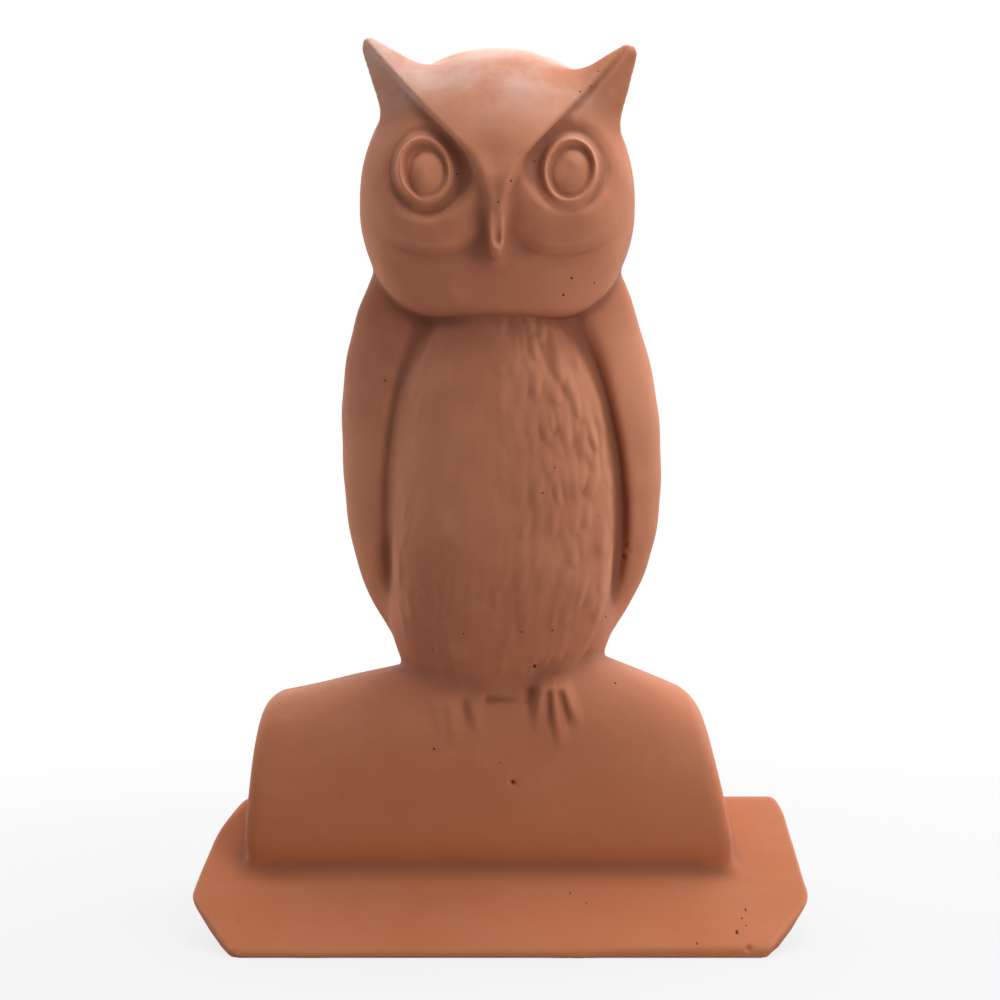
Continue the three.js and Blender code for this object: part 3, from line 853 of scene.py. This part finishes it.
bend = curvature(points_of(owl.data), CURVE_REACH)
broad = curvature(points_of(owl.data), BROAD_REACH)
keep_attribute(owl.data, "edge", ramp(bend, 0.08, 0.6))
# The valley and hollow masks carry a painted shade: the material darkens these places where shade falls.
keep_attribute(owl.data, "valley", ramp(-bend, 0.04, 0.45))
keep_attribute(owl.data, "hollow", ramp(-broad, 0.0, 0.14))
print("broad bend, from hollow to bulge:", np.percentile(broad, [1, 5, 25, 50, 75, 95]).round(3))
print("points on edges:", int((bend > 0.3).sum()), "and in valleys:", int((bend < -0.2).sum()))

# %% [markdown]
# The finish is built from node groups, each one an effect with named inputs. The first gives clouds: a
# soft mask of uneven patches at a chosen size, which serves the clay's uneven firing and its pale bloom.
# A small function makes such a group and its sockets, so that each group reads like a recipe.

# %% Node group helpers
def new_group(name, inputs, outputs):
    """An empty node group with float, vector or colour sockets. Returns the group and its two ends."""
    group = bpy.data.node_groups.new(name, "ShaderNodeTree")
    for label, kind, default in inputs:
        socket = group.interface.new_socket(name=label, in_out="INPUT", socket_type="NodeSocket" + kind)
        if default is not None:
            socket.default_value = default
    for label, kind in outputs:
        group.interface.new_socket(name=label, in_out="OUTPUT", socket_type="NodeSocket" + kind)
    return group, group.nodes.new("NodeGroupInput"), group.nodes.new("NodeGroupOutput")


def math_node(tree, operation, first, second=None, clamp=False):
    node = tree.nodes.new("ShaderNodeMath")
    node.operation = operation
    node.use_clamp = clamp
    for socket, value in zip(node.inputs, (first, second)):
        if hasattr(value, "is_output"):
            tree.links.new(value, socket)
        elif value is not None:
            socket.default_value = value
    return node.outputs[0]


def object_place(tree):
    return tree.nodes.new("ShaderNodeTexCoord").outputs["Object"]


def noise_node(tree, place, scale, detail, roughness):
    node = tree.nodes.new("ShaderNodeTexNoise")
    tree.links.new(place, node.inputs["Vector"])
    for label, value in (("Scale", scale), ("Detail", detail), ("Roughness", roughness)):
        if hasattr(value, "is_output"):
            tree.links.new(value, node.inputs[label])
        else:
            node.inputs[label].default_value = value
    return node.outputs["Fac"]


def range_node(tree, value, low, high):
    """A smooth mask: 0 where the value is under low and 1 where it is over high."""
    node = tree.nodes.new("ShaderNodeMapRange")
    node.interpolation_type = "SMOOTHSTEP"
    tree.links.new(value, node.inputs["Value"])
    for label, limit in (("From Min", low), ("From Max", high)):
        if hasattr(limit, "is_output"):
            tree.links.new(limit, node.inputs[label])
        else:
            node.inputs[label].default_value = limit
    return node.outputs["Result"]


def clouds_group():
    inputs = [
        ("Scale", "Float", 12.0),
        ("Low", "Float", 0.4),
        ("High", "Float", 0.6),
        ("Offset", "Vector", None),
    ]
    group, given, made = new_group("Clouds", inputs, [("Mask", "Float")])
    shift = group.nodes.new("ShaderNodeVectorMath")
    group.links.new(object_place(group), shift.inputs[0])
    group.links.new(given.outputs["Offset"], shift.inputs[1])
    noise = noise_node(group, shift.outputs["Vector"], given.outputs["Scale"], 4, 0.55)
    mask = range_node(group, noise, given.outputs["Low"], given.outputs["High"])
    group.links.new(mask, made.inputs["Mask"])
    return group


CLOUDS = clouds_group()
print("group", CLOUDS.name, "has", len(CLOUDS.nodes), "nodes")

# %% [markdown]
# The clay has a fine tooth, and a casting shows small holes where air was caught against the mould. The
# grain is a height made of two noises. The scattered pinholes are the cores of a few random cells, and
# the ones that can be picked out on the real finial are placed one by one on its front.

# %% Grain and pinholes
# The material paints each pinhole dark, a painted shade inside the hole.
PINHOLES = [
    (-21.2, 375.5, 0.55), (17.2, 382.0, 0.5), (5.4, 370.3, 0.5), (-0.8, 359.8, 0.45),
    (40.6, 419.7, 0.55), (46.3, 423.1, 0.4), (35.8, 324.2, 0.6), (31.8, 316.0, 0.6),
    (47.6, 322.6, 0.45), (27.0, 229.0, 0.45), (21.0, 216.5, 0.5), (-18.2, 146.6, 0.45),
    (10.8, 147.6, 0.5), (26.0, 148.2, 0.5), (17.2, 130.2, 0.95), (70.8, 172.6, 0.6),
    (63.5, 184.0, 0.45), (64.7, 190.4, 0.35), (53.8, 153.6, 0.45), (-32.6, 90.2, 0.6),
    (6.2, 74.4, 0.7), (111.4, 9.6, 0.75), (115.0, 14.0, 0.4), (117.5, 16.8, 0.5),
    (91.8, 6.0, 0.45), (34.0, 22.6, 0.4),
]


def grain_group():
    inputs = [("Scale", "Float", 900.0), ("Coarse", "Float", 0.5)]
    group, given, made = new_group("Grain", inputs, [("Height", "Float")])
    place = object_place(group)
    fine = noise_node(group, place, given.outputs["Scale"], 3, 0.6)
    broad = noise_node(group, place, math_node(group, "MULTIPLY", given.outputs["Scale"], 0.22), 3, 0.5)
    share = math_node(group, "MULTIPLY", broad, given.outputs["Coarse"])
    group.links.new(math_node(group, "ADD", fine, share), made.inputs["Height"])
    return group


def scattered_holes(group, place, given):
    """The cores of Voronoi cells, kept only where a cell's random colour is high."""
    cells = group.nodes.new("ShaderNodeTexVoronoi")
    group.links.new(place, cells.inputs["Vector"])
    group.links.new(given.outputs["Scale"], cells.inputs["Scale"])
    chosen = group.nodes.new("ShaderNodeSeparateColor")
    group.links.new(cells.outputs["Color"], chosen.inputs["Color"])
    few = math_node(group, "GREATER_THAN", chosen.outputs["Red"], given.outputs["Rarity"])
    size = math_node(group, "MULTIPLY", chosen.outputs["Green"], given.outputs["Size"])
    core = range_node(group, math_node(group, "SUBTRACT", size, cells.outputs["Distance"]), 0.0, 0.03)
    return math_node(group, "MULTIPLY", few, core)


def hole_at(group, flat, x, z, radius):
    """One pinhole: how near the point is, seen from the front, to a chosen place."""
    distance = group.nodes.new("ShaderNodeVectorMath")
    distance.operation = "DISTANCE"
    group.links.new(flat, distance.inputs[0])
    distance.inputs[1].default_value = (x * MM, 0, z * MM)
    nearness = math_node(group, "SUBTRACT", radius * MM, distance.outputs["Value"])
    return range_node(group, nearness, -0.25 * radius * MM, 0.35 * radius * MM)


def pinholes_group():
    inputs = [("Scale", "Float", 130.0), ("Rarity", "Float", 0.9), ("Size", "Float", 0.16)]
    group, given, made = new_group("Pinholes", inputs, [("Mask", "Float")])
    place = object_place(group)
    mask = scattered_holes(group, place, given)
    flat = group.nodes.new("ShaderNodeVectorMath")
    flat.operation = "MULTIPLY"
    group.links.new(place, flat.inputs[0])
    flat.inputs[1].default_value = (1, 0, 1)
    axes = group.nodes.new("ShaderNodeSeparateXYZ")
    group.links.new(place, axes.inputs["Vector"])
    front = math_node(group, "LESS_THAN", axes.outputs["Y"], -0.012)
    placed = None
    for x, z, radius in PINHOLES:
        hole = hole_at(group, flat.outputs["Vector"], x, z, radius)
        placed = hole if placed is None else math_node(group, "MAXIMUM", placed, hole)
    placed = math_node(group, "MULTIPLY", placed, front)
    group.links.new(math_node(group, "MAXIMUM", mask, placed), made.inputs["Mask"])
    return group


GRAIN = grain_group()
HOLES = pinholes_group()
print(len(PINHOLES), "placed pinholes")

# %% [markdown]
# The terracotta itself is a matt Principled shader. Its colour starts as two firings of the same clay in
# soft clouds, and it turns more orange low down, on the tile and the foot of the perch. Over that go a
# painted shade in the valleys and the broad hollows, a rubbed tone on the edges, a pale bloom of salts
# mixed with painted light on the crown and the ears, and last a painted shade in the pinholes. Grain and
# holes also feed a bump.

# %% Terracotta
CLAY_DARK = (0.43, 0.152, 0.078, 1)
CLAY_LIGHT = (0.54, 0.210, 0.112, 1)
CLAY_ORANGE = (0.52, 0.16, 0.06, 1)
CLAY_EDGE = (0.62, 0.265, 0.148, 1)
# A painted shade colour, put into the valleys and the broad hollows.
CLAY_PAINTED_SHADE = (0.27, 0.098, 0.055, 1)
# A pale bloom colour, used partly as salts and partly as painted light on the crown and the ears.
CLAY_BLOOM_AND_LIGHT = (0.68, 0.49, 0.42, 1)
# A painted shade colour for the inside of the pinholes.
CLAY_PINHOLE_SHADE = (0.07, 0.022, 0.013, 1)
# The valley and hollow shares set how strong the painted shade is.
SHARE = {"specks": 0.25, "warm": 0.85, "valley": 0.55, "hollow": 0.65, "edge": 0.35, "bloom_and_light": 0.7}


def place_group(tree, group, **values):
    node = tree.nodes.new("ShaderNodeGroup")
    node.node_tree = group
    for label, value in values.items():
        node.inputs[label].default_value = value
    return node.outputs[0]


def mix_node(tree, amount, first, second):
    node = tree.nodes.new("ShaderNodeMix")
    node.data_type = "RGBA"
    tree.links.new(amount, node.inputs["Factor"])
    for label, value in (("A", first), ("B", second)):
        socket = [s for s in node.inputs if s.name == label and s.type == "RGBA"][0]
        if hasattr(value, "is_output"):
            tree.links.new(value, socket)
        else:
            socket.default_value = value
    return [s for s in node.outputs if s.type == "RGBA"][0]


def attribute_node(tree, name):
    node = tree.nodes.new("ShaderNodeAttribute")
    node.attribute_name = name
    return node.outputs["Fac"]


def upward_faces(tree):
    """1 on faces that look up, 0 on upright ones."""
    axes = tree.nodes.new("ShaderNodeSeparateXYZ")
    tree.links.new(tree.nodes.new("ShaderNodeNewGeometry").outputs["Normal"], axes.inputs["Vector"])
    return range_node(tree, axes.outputs["Z"], 0.1, 0.9)


def bloom_and_light_share(tree):
    """Where the pale bloom goes, partly salts and partly painted light: on upward faces, most on the crown,
    and on all sides of what is highest.
    """
    axes = tree.nodes.new("ShaderNodeSeparateXYZ")
    tree.links.new(object_place(tree), axes.inputs["Vector"])
    crown = range_node(tree, axes.outputs["Z"], 0.385, 0.425)
    crown = math_node(tree, "ADD", math_node(tree, "MULTIPLY", crown, 0.95), 0.05)
    ears = math_node(tree, "MULTIPLY", range_node(tree, axes.outputs["Z"], 0.400, 0.430), 0.9)
    return math_node(tree, "MAXIMUM", math_node(tree, "MULTIPLY", crown, upward_faces(tree)), ears)


def warm_share(tree):
    """1 on the tile, less on the perch and 0 on the bird: the clay is more orange low down."""
    axes = tree.nodes.new("ShaderNodeSeparateXYZ")
    tree.links.new(object_place(tree), axes.inputs["Vector"])
    return math_node(tree, "SUBTRACT", 1.0, range_node(tree, axes.outputs["Z"], 0.01, 0.16))


def terracotta():
    material = bpy.data.materials.new("terracotta")
    material.use_nodes = True
    tree = material.node_tree
    shader = tree.nodes["Principled BSDF"]
    shader.inputs["Roughness"].default_value = 0.86
    shader.inputs["Specular IOR Level"].default_value = 0.32

    patches = place_group(tree, CLOUDS, Scale=9.0, Low=0.36, High=0.64)
    colour = mix_node(tree, patches, CLAY_DARK, CLAY_LIGHT)
    small = place_group(tree, CLOUDS, Scale=55.0, Low=0.5, High=0.75, Offset=(3, 1, 2))
    colour = mix_node(tree, math_node(tree, "MULTIPLY", small, SHARE["specks"]), colour, CLAY_EDGE)
    warm = math_node(tree, "MULTIPLY", warm_share(tree), SHARE["warm"])
    colour = mix_node(tree, warm, colour, CLAY_ORANGE)
    # Painted shade: the valleys and the broad hollows are darkened where shade falls.
    valley = math_node(tree, "MULTIPLY", attribute_node(tree, "valley"), SHARE["valley"])
    colour = mix_node(tree, valley, colour, CLAY_PAINTED_SHADE)
    hollow = math_node(tree, "MULTIPLY", attribute_node(tree, "hollow"), SHARE["hollow"])
    colour = mix_node(tree, hollow, colour, CLAY_PAINTED_SHADE)
    edge = math_node(tree, "MULTIPLY", attribute_node(tree, "edge"), SHARE["edge"])
    colour = mix_node(tree, edge, colour, CLAY_EDGE)
    # Partly a pale salt bloom and partly painted light: the crown's upward faces and the ears are
    # lightened.
    bloom_and_light = place_group(tree, CLOUDS, Scale=24.0, Low=0.36, High=0.66, Offset=(5, 2, 7))
    bloom_and_light = math_node(tree, "MULTIPLY", bloom_and_light, bloom_and_light_share(tree))
    colour = mix_node(tree, math_node(tree, "MULTIPLY", bloom_and_light, SHARE["bloom_and_light"]), colour, CLAY_BLOOM_AND_LIGHT)
    # Painted shade: the pinholes are darkened where shade would fall inside them.
    holes = place_group(tree, HOLES, Scale=120.0, Rarity=0.93, Size=0.1)
    colour = mix_node(tree, holes, colour, CLAY_PINHOLE_SHADE)
    tree.links.new(colour, shader.inputs["Base Color"])

    grain = place_group(tree, GRAIN, Scale=850.0, Coarse=0.8)
    relief = tree.nodes.new("ShaderNodeBump")
    relief.inputs["Strength"].default_value = 0.42
    relief.inputs["Distance"].default_value = 0.00035
    height = math_node(tree, "SUBTRACT", grain, math_node(tree, "MULTIPLY", holes, 4))
    tree.links.new(height, relief.inputs["Height"])
    tree.links.new(relief.outputs["Normal"], shader.inputs["Normal"])
    return material


owl.data.materials.clear()
owl.data.materials.append(terracotta())
print("materials on the owl:", [m.name for m in owl.data.materials])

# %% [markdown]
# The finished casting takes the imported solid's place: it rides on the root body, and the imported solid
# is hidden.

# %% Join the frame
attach(owl, "root")
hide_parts("owl_finial")
print("casting rides on root")

# %% [markdown]
# The room is as plain as a product photograph: a wide pale floor and soft light. A sky that is brighter
# behind and lamps at the back right and the left light the crown and both outer edges. A lamp at the
# front right models the face and the breast, and a smaller one hangs above. The floor gives back less
# than half of the light, which keeps the chin's underside and the foot of the perch dark. It would look
# grey, so to the camera alone it shows mostly a plain white that glows by itself and lights nothing.

# %% Floor and light
FLOOR_COLOUR = (0.45, 0.45, 0.45, 1)
FLOOR_HALF = 30.0
FLOOR_SWEEP = {"near": 0.25, "far": 0.75, "share": 0.8}
SKY = {"base": 0.1, "behind": 1.8, "seen": 1.0}
LAMP_AIM = (0, 0, 0.24)
LAMPS = [
    {"name": "back right", "at": (1.18, 0.99, 0.65), "size": 0.9, "power": 9},
    {"name": "left", "at": (-1.45, 0.53, 0.65), "size": 0.9, "power": 5},
    {"name": "front right", "at": (1.0, -1.18, 0.65), "size": 0.9, "power": 8.5},
    {"name": "top", "at": (0.15, 0.0, 0.95), "size": 0.5, "power": 4.8},
]


def floor_share(tree):
    """How much of the backdrop's own white the camera sees in the floor: all of it far away."""
    distance = tree.nodes.new("ShaderNodeVectorMath")
    distance.operation = "LENGTH"
    tree.links.new(object_place(tree), distance.inputs[0])
    far = range_node(tree, distance.outputs["Value"], FLOOR_SWEEP["near"], FLOOR_SWEEP["far"])
    near = FLOOR_SWEEP["share"]
    share = math_node(tree, "ADD", math_node(tree, "MULTIPLY", far, 1 - near), near)
    seen = tree.nodes.new("ShaderNodeLightPath").outputs["Is Camera Ray"]
    return math_node(tree, "MULTIPLY", share, seen)


def make_floor():
    mesh = bpy.data.meshes.new("floor")
    half = FLOOR_HALF
    corners = [(-half, -half, 0), (half, -half, 0), (half, half, 0), (-half, half, 0)]
    mesh.from_pydata(corners, [], [(0, 1, 2, 3)])
    floor = bpy.data.objects.new("floor", mesh)
    bpy.context.scene.collection.objects.link(floor)
    material = bpy.data.materials.new("pale floor")
    material.use_nodes = True
    tree = material.node_tree
    shader = tree.nodes["Principled BSDF"]
    shader.inputs["Base Color"].default_value = FLOOR_COLOUR
    shader.inputs["Roughness"].default_value = 0.9
    paper = tree.nodes.new("ShaderNodeEmission")
    paper.inputs["Strength"].default_value = SKY["seen"]
    blend = tree.nodes.new("ShaderNodeMixShader")
    tree.links.new(floor_share(tree), blend.inputs["Fac"])
    tree.links.new(shader.outputs["BSDF"], blend.inputs[1])
    tree.links.new(paper.outputs["Emission"], blend.inputs[2])
    tree.links.new(blend.outputs["Shader"], tree.nodes["Material Output"].inputs["Surface"])
    mesh.materials.append(material)


def make_lamp(lamp):
    light = bpy.data.lights.new(lamp["name"], "AREA")
    light.size = lamp["size"]
    light.energy = lamp["power"]
    holder = bpy.data.objects.new(lamp["name"], light)
    bpy.context.scene.collection.objects.link(holder)
    holder.location = lamp["at"]
    holder.visible_camera = False
    aim = Vector(LAMP_AIM) - Vector(lamp["at"])
    holder.rotation_euler = aim.to_track_quat("-Z", "Y").to_euler()


def sky_light(tree):
    """How much light comes from each direction: it grows from the front to the back."""
    axes = tree.nodes.new("ShaderNodeSeparateXYZ")
    tree.links.new(tree.nodes.new("ShaderNodeTexCoord").outputs["Generated"], axes.inputs["Vector"])
    behind = math_node(tree, "MULTIPLY", range_node(tree, axes.outputs["Y"], -0.4, 0.8), SKY["behind"])
    return math_node(tree, "ADD", behind, SKY["base"])


def make_world():
    """A world that lights by its gradient, and that the camera sees as one pale backdrop."""
    world = bpy.data.worlds.new("studio")
    world.use_nodes = True
    tree = world.node_tree
    seen = tree.nodes.new("ShaderNodeLightPath").outputs["Is Camera Ray"]
    unseen = math_node(tree, "SUBTRACT", 1.0, seen)
    light = math_node(tree, "MULTIPLY", sky_light(tree), unseen)
    strength = math_node(tree, "ADD", light, math_node(tree, "MULTIPLY", seen, SKY["seen"]))
    backdrop = tree.nodes["Background"]
    backdrop.inputs["Color"].default_value = (1, 1, 1, 1)
    tree.links.new(strength, backdrop.inputs["Strength"])
    bpy.context.scene.world = world


make_floor()
for lamp in LAMPS:
    make_lamp(lamp)
make_world()
bpy.context.scene.view_settings.view_transform = "Standard"
print(len(LAMPS), "lamps")
